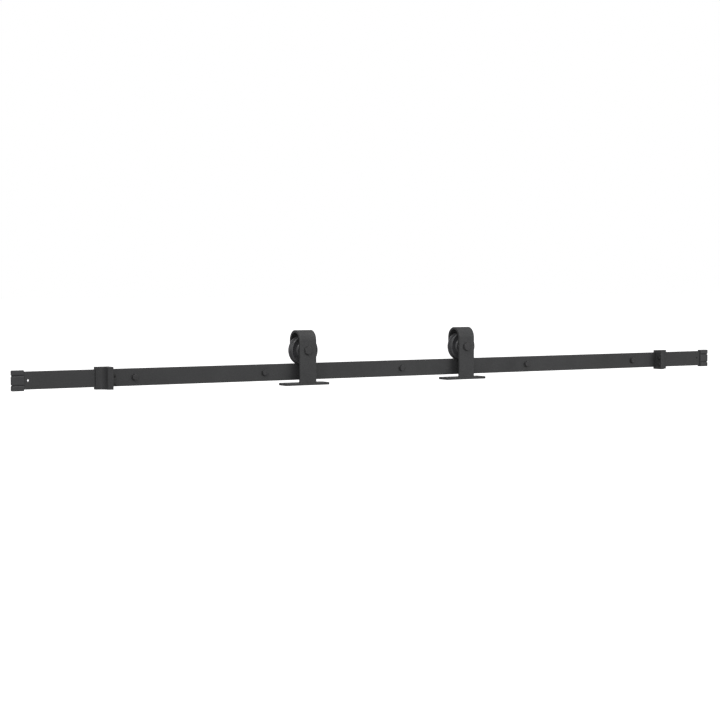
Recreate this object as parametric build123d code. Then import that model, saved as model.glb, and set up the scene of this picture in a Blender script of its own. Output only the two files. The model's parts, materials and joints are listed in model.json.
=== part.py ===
from build123d import *
from math import cos, radians
import os

# Sliding barn door hardware, in millimetres.
# X runs along the rail, +Y goes into the wall and +Z is up.
# The origin is the centre of the middle spacer's face on the wall, at the rail's mid-height.

# Rail: one flat bar on five spacers
RAIL_LENGTH = 2000.0
RAIL_HEIGHT = 40.0
RAIL_THICK = 6.0
SPACER_LENGTH = 40.0
SPACER_RADIUS = 10.0
FIXING_PLACES = (-720.0, -386.0, 0.0, 386.0, 742.0)
RAIL_HOLE_RADIUS = 4.5
END_HOLE_PLACE = 974.0
END_HOLE_RADIUS = 2.75
RAIL_EDGE_BREAK = 0.5

# Coach screws and washers that hold the rail to the wall
COACH_SHANK_RADIUS = 4.0
COACH_THREAD_RADIUS = 3.6
COACH_POINT_RADIUS = 0.4
COACH_REACH = 45.0
COACH_TIP = 7.0
COACH_HEAD_FLATS = 13.0
COACH_HEAD_HEIGHT = 4.2
COACH_WASHER_RADIUS = 8.2
COACH_WASHER_THICK = 1.0

# Turned-down corners of every hexagonal head
HEAD_FACE_INSET = 0.3
HEAD_CONE_SLOPE = 1.732

# Wheels
WHEEL_RADIUS = 36.0
WHEEL_WIDTH = 20.0
TREAD_CLEARANCE = 0.3
TREAD_RADIUS = 30.4
GROOVE_WIDTH = 8.0
GROOVE_MOUTH = 12.4
HUB_RADIUS = 20.0
RIM_INNER_RADIUS = 32.5
WEB_DEPTH = 3.0
BEVEL_RUN = 1.5
RIM_ROUND = 1.2
BORE_LIP_RADIUS = 13.5

# Ball bearing in each wheel: 12 x 32 x 10
BEARING_WIDTH = 10.0
BEARING_RADIUS = 16.0
OUTER_RING_INSIDE = 12.75
INNER_RING_OUTSIDE = 9.25
BALL_CIRCLE = 11.0
BALL_RADIUS = 2.95
BALL_COUNT = 8
RACE_RADIUS = 3.05
SHIELD_THICK = 0.8
SHIELD_INSIDE = 9.6
SHIELD_RECESS = 0.1
FIT_GAP = 0.03

# Hanger straps, bent from flat bar over the wheels
STRAP_WIDTH = 45.0
STRAP_THICK = 6.0
STRAP_DEPTH = 52.0
STRAP_CREST = 99.7
STRAP_EDGE_BREAK = 0.7
HANGER_PLACES = {"left": -280.0, "right": 181.0}

# Axle bolt, nut and washers: M12
AXLE_RADIUS = 6.0
AXLE_HOLE_RADIUS = 6.05
AXLE_HEAD_FLATS = 19.0
AXLE_HEAD_HEIGHT = 3.8
AXLE_WASHER_RADIUS = 12.0
AXLE_WASHER_THICK = 2.0
AXLE_END = -4.0
NUT_HEIGHT = 9.5
NUT_HEXAGON_HEIGHT = 6.6
NUT_COLLAR_RADIUS = 8.9
BUSHING_RADIUS = 8.7

# Plates that screw down on the door's top edge
PLATE_LENGTH = 120.0
PLATE_DEPTH = 40.0
PLATE_THICK = 6.0
PLATE_TOP = -26.5
PLATE_CORNER = 4.0
PLATE_HOLE_SPACING_X = 90.0
PLATE_HOLE_SPACING_Y = 20.0
PLATE_HOLE_RADIUS = 3.0
PLATE_SINK_RADIUS = 5.5
PLATE_EDGE_BREAK = 0.5
WELD_LEG = 4.0
WELD_BULGE = 2.3
WELD_LENGTH = 42.0

# End stops that slide over the rail, each with a thick lug towards the hangers
STOP_INNER_FACES = {"left": 781.5, "right": 824.5}
STOP_LENGTH = 35.0
STOP_HEIGHT = 51.4
STOP_SLIDE_GAP = 0.1
STOP_BACK_THICK = 2.9
STOP_BACK_OPENING = 26.0
STOP_END_THICK = 2.6
STOP_SCOOP_SLOPE = 80.0
STOP_ROUND = 0.8
LUG_LENGTH = 9.0
LUG_DEPTH = 22.0
LUG_ROUND = 5.0
BUFFER_LENGTH = 6.0
BUFFER_RADIUS = 4.5
BUFFER_ROUND = 1.5
BUFFER_STEM_RADIUS = 2.2
BUFFER_STEM_LENGTH = 7.0
BUFFER_FRONT_INSET = 4.6
BUFFER_HEIGHTS = (5.5, -12.5)
GRUB_RADIUS = 2.5
GRUB_HOLE_RADIUS = 2.55
GRUB_PLACES = (8.0, 27.0)
GRUB_SINK = 0.5
GRUB_SOCKET_FLATS = 2.5
GRUB_SOCKET_DEPTH = 2.0

# Caps on the rail's ends
CAP_COVER = 15.0
CAP_WALL = 3.0
CAP_END_THICK = 12.5
CAP_ROUND = 1.2
CAP_GROOVE_DEPTH = 2.0
CAP_GROOVE_PLACE = 11.0
CAP_GROOVE_RUN = 200.0

RAIL_BACK = -SPACER_LENGTH
RAIL_FRONT = RAIL_BACK - RAIL_THICK
RAIL_MIDDLE = RAIL_BACK - RAIL_THICK / 2
RAIL_TOP = RAIL_HEIGHT / 2
AXLE_HEIGHT = RAIL_TOP + TREAD_CLEARANCE + TREAD_RADIUS
STRAP_FRONT = RAIL_MIDDLE - STRAP_DEPTH / 2
STRAP_BACK = RAIL_MIDDLE + STRAP_DEPTH / 2


def box_between(low, high):
    """A box from its lowest corner to its highest corner."""
    size = [b - a for a, b in zip(low, high)]
    middle = [(a + b) / 2 for a, b in zip(low, high)]
    return Pos(*middle) * Box(*size)


def rod_along_y(x, z, y_start, y_end, radius):
    """A round bar along Y."""
    middle = (y_start + y_end) / 2
    return Pos(x, middle, z) * Rot(90, 0, 0) * Cylinder(radius, y_end - y_start)


def tube_along_y(x, z, y_start, y_end, radius, bore):
    """A round tube along Y."""
    inside = rod_along_y(x, z, y_start - 1, y_end + 1, bore)
    return rod_along_y(x, z, y_start, y_end, radius) - inside


def hexagon_along_y(x, z, y_start, y_end, flats):
    """A hexagonal prism along Y, with one pair of corners up and down."""
    section = RegularPolygon(flats / 2, 6, major_radius=False, rotation=30)
    prism = extrude(section, y_end - y_start)
    return Pos(x, y_end, z) * Rot(90, 0, 0) * prism


def bolt_head(x, z, y_start, y_end, flats):
    """A hexagonal head whose front corners are turned down to a 30 degree cone."""
    height = y_end - y_start
    face_radius = flats / 2 - HEAD_FACE_INSET
    base_radius = face_radius + height * HEAD_CONE_SLOPE
    cone = Pos(x, (y_start + y_end) / 2, z) * Rot(90, 0, 0) * Cone(base_radius, face_radius, height)
    return hexagon_along_y(x, z, y_start, y_end, flats) & cone


def turned_about_y(x, y, z, points):
    """A turned piece about Y from (radius, distance along Y) points."""
    outline = Polyline(*points, close=True)
    section = make_face(outline)
    solid = revolve(Plane.XY * section, Axis.Y)
    return Pos(x, y, z) * solid


def save(name, pieces):
    """Write one named node, which holds one solid or a group of separate ones."""
    group = pieces if isinstance(pieces, list) else [pieces]
    solids = [solid for piece in group for solid in piece.solids()]
    shape = solids[0] if len(solids) == 1 else Compound(children=solids)
    shape.label = name
    export_step(shape, f"parts/{name}.step")


# ---- Fixed pieces on the rail ----

def rail():
    bar = box_between((-RAIL_LENGTH / 2, RAIL_FRONT, -RAIL_TOP), (RAIL_LENGTH / 2, RAIL_BACK, RAIL_TOP))
    bar = chamfer(bar.edges().filter_by(Axis.X), RAIL_EDGE_BREAK)
    for x in FIXING_PLACES:
        bar = bar - rod_along_y(x, 0, RAIL_FRONT - 1, RAIL_BACK + 1, RAIL_HOLE_RADIUS)
    for x in (-END_HOLE_PLACE, END_HOLE_PLACE):
        bar = bar - rod_along_y(x, 0, RAIL_FRONT - 1, RAIL_BACK + 1, END_HOLE_RADIUS)
    return bar


def wall_spacers():
    return [tube_along_y(x, 0, RAIL_BACK, 0, SPACER_RADIUS, RAIL_HOLE_RADIUS) for x in FIXING_PLACES]


def coach_washers():
    front = RAIL_FRONT - COACH_WASHER_THICK
    radius = COACH_WASHER_RADIUS
    return [tube_along_y(x, 0, front, RAIL_FRONT, radius, RAIL_HOLE_RADIUS) for x in FIXING_PLACES]


def coach_screws():
    seat = RAIL_FRONT - COACH_WASHER_THICK
    screws = []
    for x in FIXING_PLACES:
        head = bolt_head(x, 0, seat - COACH_HEAD_HEIGHT, seat, COACH_HEAD_FLATS)
        shank = rod_along_y(x, 0, seat, 0, COACH_SHANK_RADIUS)
        thread = rod_along_y(x, 0, 0, COACH_REACH - COACH_TIP, COACH_THREAD_RADIUS)
        place = Pos(x, COACH_REACH - COACH_TIP / 2, 0) * Rot(-90, 0, 0)
        point = place * Cone(COACH_THREAD_RADIUS, COACH_POINT_RADIUS, COACH_TIP)
        screws.append(head + shank + thread + point)
    return screws


def end_cap(side):
    """A moulded cap whose grooves part it into three lobes."""
    mouth = RAIL_LENGTH / 2 - CAP_COVER
    tip = RAIL_LENGTH / 2 + CAP_END_THICK
    front = RAIL_FRONT - CAP_WALL
    back = RAIL_BACK + CAP_WALL
    top = RAIL_TOP + CAP_WALL
    block = box_between((mouth, front, -top), (tip, back, top))
    block = fillet(block.edges(), CAP_ROUND)
    width = CAP_GROOVE_DEPTH * 2 ** 0.5
    for z in (-CAP_GROOVE_PLACE, CAP_GROOVE_PLACE):
        for y in (front, back):
            block = block - Pos(tip, y, z) * Rot(45, 0, 0) * Box(CAP_GROOVE_RUN, width, width)
        block = block - Pos(tip, RAIL_MIDDLE, z) * Rot(0, 45, 0) * Box(width, CAP_GROOVE_RUN, width)
    bar = box_between((0, RAIL_FRONT, -RAIL_TOP), (RAIL_LENGTH / 2, RAIL_BACK, RAIL_TOP))
    block = block - bar
    return block if side > 0 else mirror(block, Plane.YZ)


def stop_body(inner_face):
    """The right-hand stop: its lug faces the hangers, and its front scoops down to a thin end."""
    front = RAIL_FRONT - STOP_SLIDE_GAP
    lug_front = front - LUG_DEPTH
    end_front = front - STOP_END_THICK
    end = STOP_LENGTH
    fall = LUG_DEPTH - STOP_END_THICK
    scoop_radius = fall / (1 - cos(radians(STOP_SCOOP_SLOPE))) - LUG_ROUND
    shoulder = JernArc((LUG_LENGTH, lug_front), (1, 0), LUG_ROUND, STOP_SCOOP_SLOPE)
    scoop = JernArc(shoulder @ 1, shoulder % 1, scoop_radius, -STOP_SCOOP_SLOPE)
    outline = [
        Line((0, RAIL_MIDDLE), (0, lug_front)),
        Line((0, lug_front), (LUG_LENGTH, lug_front)),
        shoulder,
        scoop,
        Line(scoop @ 1, (end, end_front)),
        Line((end, end_front), (end, RAIL_MIDDLE)),
        Line((end, RAIL_MIDDLE), (0, RAIL_MIDDLE)),
    ]
    half = STOP_HEIGHT / 2
    back_face = RAIL_BACK + STOP_SLIDE_GAP + STOP_BACK_THICK
    body = Pos(0, 0, -half) * extrude(make_face(outline), STOP_HEIGHT)
    body = body + box_between((0, RAIL_MIDDLE, -half), (end, back_face, half))
    lug_edges = body.edges().group_by(Axis.Y)[0].sort_by(Axis.X)[:-1]
    body = fillet(lug_edges, STOP_ROUND)
    slot_half = RAIL_TOP + STOP_SLIDE_GAP
    body = body - box_between((-1, front, -slot_half), (end + 1, RAIL_BACK + STOP_SLIDE_GAP, slot_half))
    opening = STOP_BACK_OPENING / 2
    body = body - box_between((-1, RAIL_MIDDLE, -opening), (end + 1, back_face + 1, opening))
    for x in GRUB_PLACES:
        hole = Pos(x, RAIL_MIDDLE, -half) * Cylinder(GRUB_HOLE_RADIUS, STOP_HEIGHT / 2)
        body = body - hole
    for z in BUFFER_HEIGHTS:
        hole = rod_along_x(z, -1, BUFFER_STEM_LENGTH, BUFFER_STEM_RADIUS)
        body = body - hole
    return Pos(inner_face, 0, 0) * body


def rod_along_x(z, x_start, x_end, radius):
    """A round bar along X at the buffers' distance from the rail."""
    y = RAIL_FRONT - STOP_SLIDE_GAP - LUG_DEPTH + BUFFER_FRONT_INSET
    return Pos((x_start + x_end) / 2, y, z) * Rot(0, 90, 0) * Cylinder(radius, x_end - x_start)


def stop_grub_screws(inner_face):
    """Two hex-socket screws under the stop that press up on the rail's lower edge."""
    low = -STOP_HEIGHT / 2 + GRUB_SINK
    length = -RAIL_TOP - low
    screws = []
    for x in GRUB_PLACES:
        screw = Cylinder(GRUB_RADIUS, length, align=(Align.CENTER, Align.CENTER, Align.MIN))
        section = RegularPolygon(GRUB_SOCKET_FLATS / 2, 6, major_radius=False)
        socket = extrude(section, GRUB_SOCKET_DEPTH)
        screws.append(Pos(inner_face + x, RAIL_MIDDLE, low) * (screw - socket))
    return screws


def stop_buffers(inner_face):
    """Two rubber buffers, pressed into the lug, that the hanger strap meets."""
    buffers = []
    for z in BUFFER_HEIGHTS:
        head = rod_along_x(z, -BUFFER_LENGTH, 0, BUFFER_RADIUS)
        head = fillet(head.edges().sort_by(Axis.X)[0], BUFFER_ROUND)
        stem = rod_along_x(z, 0, BUFFER_STEM_LENGTH, BUFFER_STEM_RADIUS)
        buffers.append(Pos(inner_face, 0, 0) * (head + stem))
    return buffers


# ---- One hanger ----

def strap(x):
    """Flat bar that runs up in front, over the wheel and down behind it to the axle."""
    outer = STRAP_DEPTH / 2
    inner = outer - STRAP_THICK
    spring = STRAP_CREST - outer
    foot = AXLE_HEIGHT - STRAP_WIDTH / 2
    mid = RAIL_MIDDLE
    outline = [
        Line((mid - outer, PLATE_TOP), (mid - outer, spring)),
        ThreePointArc((mid - outer, spring), (mid, spring + outer), (mid + outer, spring)),
        Line((mid + outer, spring), (mid + outer, foot)),
        Line((mid + outer, foot), (mid + inner, foot)),
        Line((mid + inner, foot), (mid + inner, spring)),
        ThreePointArc((mid + inner, spring), (mid, spring + inner), (mid - inner, spring)),
        Line((mid - inner, spring), (mid - inner, PLATE_TOP)),
        Line((mid - inner, PLATE_TOP), (mid - outer, PLATE_TOP)),
    ]
    bar = extrude(Plane.YZ * make_face(outline), STRAP_WIDTH / 2, both=True)
    sides = bar.faces().filter_by(Plane.YZ).edges()
    bar = chamfer(sides, STRAP_EDGE_BREAK)
    corner_block = box_between(
        (-STRAP_WIDTH, mid, foot - 1),
        (STRAP_WIDTH, mid + outer + 1, AXLE_HEIGHT),
    )
    round_end = rod_along_y(0, AXLE_HEIGHT, mid - 1, mid + outer + 2, STRAP_WIDTH / 2)
    bar = bar - (corner_block - round_end)
    bar = bar - rod_along_y(0, AXLE_HEIGHT, STRAP_FRONT - 1, STRAP_BACK + 1, AXLE_HOLE_RADIUS)
    return Pos(x, 0, 0) * bar


def door_plate(x):
    """The plate welded under the strap, with four countersunk holes for the door's screws."""
    outline = RectangleRounded(PLATE_LENGTH, PLATE_DEPTH, PLATE_CORNER)
    plate = extrude(outline, PLATE_THICK)
    plate = chamfer(plate.faces().sort_by(Axis.Z)[-1].edges(), PLATE_EDGE_BREAK)
    for hole in GridLocations(PLATE_HOLE_SPACING_X, PLATE_HOLE_SPACING_Y, 2, 2):
        through = Pos(0, 0, PLATE_THICK / 2) * Cylinder(PLATE_HOLE_RADIUS, PLATE_THICK * 2)
        sink_depth = PLATE_SINK_RADIUS - PLATE_HOLE_RADIUS
        sink = Pos(0, 0, PLATE_THICK - sink_depth / 2)
        sink = sink * Cone(PLATE_HOLE_RADIUS, PLATE_SINK_RADIUS, sink_depth)
        plate = plate - hole * (through + sink)
    middle = STRAP_FRONT + PLATE_DEPTH / 2
    return Pos(x, middle, PLATE_TOP - PLATE_THICK) * plate


def plate_weld(x):
    """The fillet weld in the corner between strap and plate."""
    y = STRAP_FRONT + STRAP_THICK
    z = PLATE_TOP
    outline = [
        Line((y, z), (y + WELD_LEG, z)),
        ThreePointArc((y + WELD_LEG, z), (y + WELD_BULGE, z + WELD_BULGE), (y, z + WELD_LEG)),
        Line((y, z + WELD_LEG), (y, z)),
    ]
    bead = extrude(Plane.YZ * make_face(outline), WELD_LENGTH / 2, both=True)
    return Pos(x, 0, 0) * bead


def axle_bolt(x):
    seat = STRAP_FRONT
    head = bolt_head(x, AXLE_HEIGHT, seat - AXLE_HEAD_HEIGHT, seat, AXLE_HEAD_FLATS)
    return head + rod_along_y(x, AXLE_HEIGHT, seat, AXLE_END, AXLE_RADIUS)


def axle_washer(x):
    end = STRAP_BACK + AXLE_WASHER_THICK
    return tube_along_y(x, AXLE_HEIGHT, STRAP_BACK, end, AXLE_WASHER_RADIUS, AXLE_HOLE_RADIUS)


def axle_lock_nut(x):
    start = STRAP_BACK + AXLE_WASHER_THICK
    end = start + NUT_HEIGHT
    nut = hexagon_along_y(x, AXLE_HEIGHT, start, start + NUT_HEXAGON_HEIGHT, AXLE_HEAD_FLATS)
    collar = rod_along_y(x, AXLE_HEIGHT, start, end, NUT_COLLAR_RADIUS)
    bore = rod_along_y(x, AXLE_HEIGHT, start - 1, end + 1, AXLE_HOLE_RADIUS)
    return (nut + collar) - bore


def axle_bushing(x, y_start, y_end):
    return tube_along_y(x, AXLE_HEIGHT, y_start, y_end, BUSHING_RADIUS, AXLE_HOLE_RADIUS)


def race(x):
    """The round track that the balls run in."""
    return Pos(x, RAIL_MIDDLE, AXLE_HEIGHT) * Rot(90, 0, 0) * Torus(BALL_CIRCLE, RACE_RADIUS)


def bearing_inner_ring(x):
    half = BEARING_WIDTH / 2
    ring = tube_along_y(
        x, AXLE_HEIGHT, RAIL_MIDDLE - half, RAIL_MIDDLE + half, INNER_RING_OUTSIDE, AXLE_HOLE_RADIUS
    )
    return ring - race(x)


def bearing_outer_ring(x):
    half = BEARING_WIDTH / 2
    radius = BEARING_RADIUS - FIT_GAP
    ring = tube_along_y(
        x, AXLE_HEIGHT, RAIL_MIDDLE - half, RAIL_MIDDLE + half, radius, OUTER_RING_INSIDE
    )
    return ring - race(x)


def bearing_balls(x):
    centre = Pos(x, RAIL_MIDDLE, AXLE_HEIGHT)
    step = 360 / BALL_COUNT
    return [
        centre * Rot(0, turn * step, 0) * Pos(BALL_CIRCLE, 0, 0) * Sphere(BALL_RADIUS)
        for turn in range(BALL_COUNT)
    ]


def bearing_shield(x, side):
    """A thin steel disc that closes one side of the bearing."""
    near = BEARING_WIDTH / 2 - SHIELD_RECESS
    far = near - SHIELD_THICK
    start = RAIL_MIDDLE + min(side * near, side * far)
    return tube_along_y(
        x, AXLE_HEIGHT, start, start + SHIELD_THICK, OUTER_RING_INSIDE - FIT_GAP, SHIELD_INSIDE
    )


def wheel(x):
    """A grooved wheel with raised rims and hub on both sides, bored for the bearing."""
    half = WHEEL_WIDTH / 2
    web = half - WEB_DEPTH
    seat = BEARING_WIDTH / 2
    one_side = [
        (HUB_RADIUS, half),
        (HUB_RADIUS + BEVEL_RUN, web),
        (RIM_INNER_RADIUS - BEVEL_RUN, web),
        (RIM_INNER_RADIUS, half),
        (WHEEL_RADIUS - RIM_ROUND, half),
        (WHEEL_RADIUS, half - RIM_ROUND),
        (WHEEL_RADIUS, GROOVE_MOUTH / 2),
        (TREAD_RADIUS, GROOVE_WIDTH / 2),
    ]
    other_side = [(r, -a) for r, a in reversed(one_side)]
    bore = [
        (BEARING_RADIUS, -half),
        (BEARING_RADIUS, seat),
        (BORE_LIP_RADIUS, seat),
        (BORE_LIP_RADIUS, half),
    ]
    return turned_about_y(x, RAIL_MIDDLE, AXLE_HEIGHT, one_side + other_side + bore)


os.makedirs("parts", exist_ok=True)

save("rail", rail())
save("wall_spacers", wall_spacers())
save("coach_washers", coach_washers())
save("coach_screws", coach_screws())
for name, side in (("left", -1), ("right", 1)):
    save(f"end_cap_{name}", end_cap(side))

for name, inner_face in STOP_INNER_FACES.items():
    pieces = {
        "stop_body": [stop_body(inner_face)],
        "stop_grub_screws": stop_grub_screws(inner_face),
        "stop_buffers": stop_buffers(inner_face),
    }
    for piece_name, group in pieces.items():
        if name == "left":
            group = [mirror(solid, Plane.YZ) for solid in group]
        save(f"{piece_name}_{name}", group)

for name, x in HANGER_PLACES.items():
    save(f"hanger_strap_{name}", strap(x))
    save(f"door_plate_{name}", door_plate(x))
    save(f"plate_weld_{name}", plate_weld(x))
    save(f"axle_bolt_{name}", axle_bolt(x))
    save(f"axle_washer_{name}", axle_washer(x))
    save(f"axle_lock_nut_{name}", axle_lock_nut(x))
    strap_inside = STRAP_FRONT + STRAP_THICK
    bearing_front = RAIL_MIDDLE - BEARING_WIDTH / 2
    bearing_back = RAIL_MIDDLE + BEARING_WIDTH / 2
    save(f"axle_bushing_front_{name}", axle_bushing(x, strap_inside, bearing_front))
    save(f"axle_bushing_rear_{name}", axle_bushing(x, bearing_back, STRAP_BACK - STRAP_THICK))
    save(f"bearing_inner_ring_{name}", bearing_inner_ring(x))
    save(f"bearing_outer_ring_{name}", bearing_outer_ring(x))
    save(f"bearing_balls_{name}", bearing_balls(x))
    save(f"bearing_shields_{name}", [bearing_shield(x, -1), bearing_shield(x, 1)])
    save(f"wheel_{name}", wheel(x))
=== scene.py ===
import json
import math

import bmesh
import bpy
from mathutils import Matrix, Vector


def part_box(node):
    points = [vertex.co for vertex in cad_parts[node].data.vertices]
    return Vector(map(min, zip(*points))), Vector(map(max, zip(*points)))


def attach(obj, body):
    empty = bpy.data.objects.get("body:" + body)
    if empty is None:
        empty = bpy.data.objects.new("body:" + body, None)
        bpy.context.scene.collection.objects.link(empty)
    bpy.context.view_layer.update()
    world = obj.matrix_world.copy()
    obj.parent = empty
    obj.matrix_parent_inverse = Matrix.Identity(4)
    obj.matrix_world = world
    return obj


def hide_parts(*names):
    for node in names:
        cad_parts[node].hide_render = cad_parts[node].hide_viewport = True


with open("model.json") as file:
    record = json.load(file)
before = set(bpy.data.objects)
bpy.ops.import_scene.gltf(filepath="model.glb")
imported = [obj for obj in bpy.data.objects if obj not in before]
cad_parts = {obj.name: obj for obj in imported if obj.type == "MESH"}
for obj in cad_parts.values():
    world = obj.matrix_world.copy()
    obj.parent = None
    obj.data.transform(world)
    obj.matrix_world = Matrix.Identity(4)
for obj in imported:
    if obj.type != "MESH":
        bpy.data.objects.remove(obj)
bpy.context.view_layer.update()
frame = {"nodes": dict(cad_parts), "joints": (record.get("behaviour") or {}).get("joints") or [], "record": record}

MM = 0.001
SIDES = ("left", "right")
NODES = frame["nodes"]
MOUNTS = {mount["name"]: mount for mount in frame["record"]["mounts"]}
JOINTS = {joint["name"]: joint for joint in frame["joints"]}


# ---------------------------------------------------------------- camera, lights and floor

# The camera stands to the left of the rail's middle and a little above it, looking slightly down.
CAMERA_PLACE = Vector((-2.3177, -3.6725, 0.2343))
CAMERA_YAW = math.radians(31.2)
CAMERA_PITCH = math.radians(2.85)
CAMERA_LENS = 86.5
SENSOR_WIDTH = 36.0
NEAREST = 0.05
FARTHEST = 200.0

WHITE = (1.0, 1.0, 1.0, 1.0)
AMBIENT = 0.42
BACKDROP = 1.0
FLOOR_DROP = 0.45
FLOOR_HALF = 40.0
FLOOR_COLOUR = (0.82, 0.82, 0.82, 1.0)
FLOOR_GLOW = 0.95

# Every softbox faces this point. Each row is a name, a place, a width, a height and its watts.
LIGHTS_AIM = Vector((0.0, -0.05, 0.0))
SOFTBOXES = (
    ("overhead_softbox", (0.3, -0.9, 2.6), 3.6, 2.2, 32),
    ("front_right_softbox", (2.4, -3.4, 1.2), 2.8, 2.2, 42),
    ("front_left_softbox", (-4.0, -5.4, 1.3), 3.6, 2.6, 82),
    ("upper_left_softbox", (-1.9, -1.2, 2.1), 0.9, 0.7, 22),
    ("back_fill", (0.8, 3.6, 1.6), 3.0, 1.8, 26),
)


def make_camera():
    data = bpy.data.cameras.new("photo_camera")
    data.lens = CAMERA_LENS
    data.sensor_width = SENSOR_WIDTH
    data.clip_start = NEAREST
    data.clip_end = FARTHEST
    camera = bpy.data.objects.new("photo_camera", data)
    bpy.context.scene.collection.objects.link(camera)
    camera.location = CAMERA_PLACE
    camera.rotation_euler = (math.pi / 2 - CAMERA_PITCH, 0.0, -CAMERA_YAW)
    bpy.context.scene.camera = camera


def make_softbox(name, place, width, height, power):
    data = bpy.data.lights.new(name, "AREA")
    data.shape = "RECTANGLE"
    data.size = width
    data.size_y = height
    data.energy = power
    light = bpy.data.objects.new(name, data)
    bpy.context.scene.collection.objects.link(light)
    light.location = place
    light.rotation_mode = "QUATERNION"
    light.rotation_quaternion = (LIGHTS_AIM - light.location).to_track_quat("-Z", "Y")


def make_world():
    """White behind the object, with a weaker even light from all round."""
    world = bpy.data.worlds.new("studio")
    bpy.context.scene.world = world
    world.use_nodes = True
    tree = world.node_tree
    tree.nodes.clear()
    out = tree.nodes.new("ShaderNodeOutputWorld")
    mix = tree.nodes.new("ShaderNodeMixShader")
    ray = tree.nodes.new("ShaderNodeLightPath")
    tree.links.new(ray.outputs["Is Camera Ray"], mix.inputs["Fac"])
    for place, strength in ((1, AMBIENT), (2, BACKDROP)):
        background = tree.nodes.new("ShaderNodeBackground")
        background.inputs["Color"].default_value = WHITE
        background.inputs["Strength"].default_value = strength
        tree.links.new(background.outputs[0], mix.inputs[place])
    tree.links.new(mix.outputs[0], out.inputs["Surface"])


def make_floor():
    """A plain pale floor under the rail."""
    mesh = bpy.data.meshes.new("floor")
    corners = [(-1, -1), (1, -1), (1, 1), (-1, 1)]
    points = [(x * FLOOR_HALF, y * FLOOR_HALF, -FLOOR_DROP) for x, y in corners]
    mesh.from_pydata(points, [], [(0, 1, 2, 3)])
    floor = bpy.data.objects.new("floor", mesh)
    bpy.context.scene.collection.objects.link(floor)
    material = bpy.data.materials.new("pale_floor")
    material.use_nodes = True
    shader = material.node_tree.nodes["Principled BSDF"]
    shader.inputs["Base Color"].default_value = FLOOR_COLOUR
    shader.inputs["Roughness"].default_value = 0.9
    shader.inputs["Specular IOR Level"].default_value = 0.1
    shader.inputs["Emission Color"].default_value = WHITE
    shader.inputs["Emission Strength"].default_value = FLOOR_GLOW
    mesh.materials.append(material)
    floor.visible_diffuse = False
    floor.visible_glossy = False


def make_studio():
    make_camera()
    make_world()
    make_floor()
    for softbox in SOFTBOXES:
        make_softbox(*softbox)
    view = bpy.context.scene.view_settings
    view.view_transform = "Standard"
    view.look = "None"


# ---------------------------------------------------------------- materials


BEVEL_SAMPLES = 4
FLAT_COSINE = 0.985
EDGE_COSINE = 0.86


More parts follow.
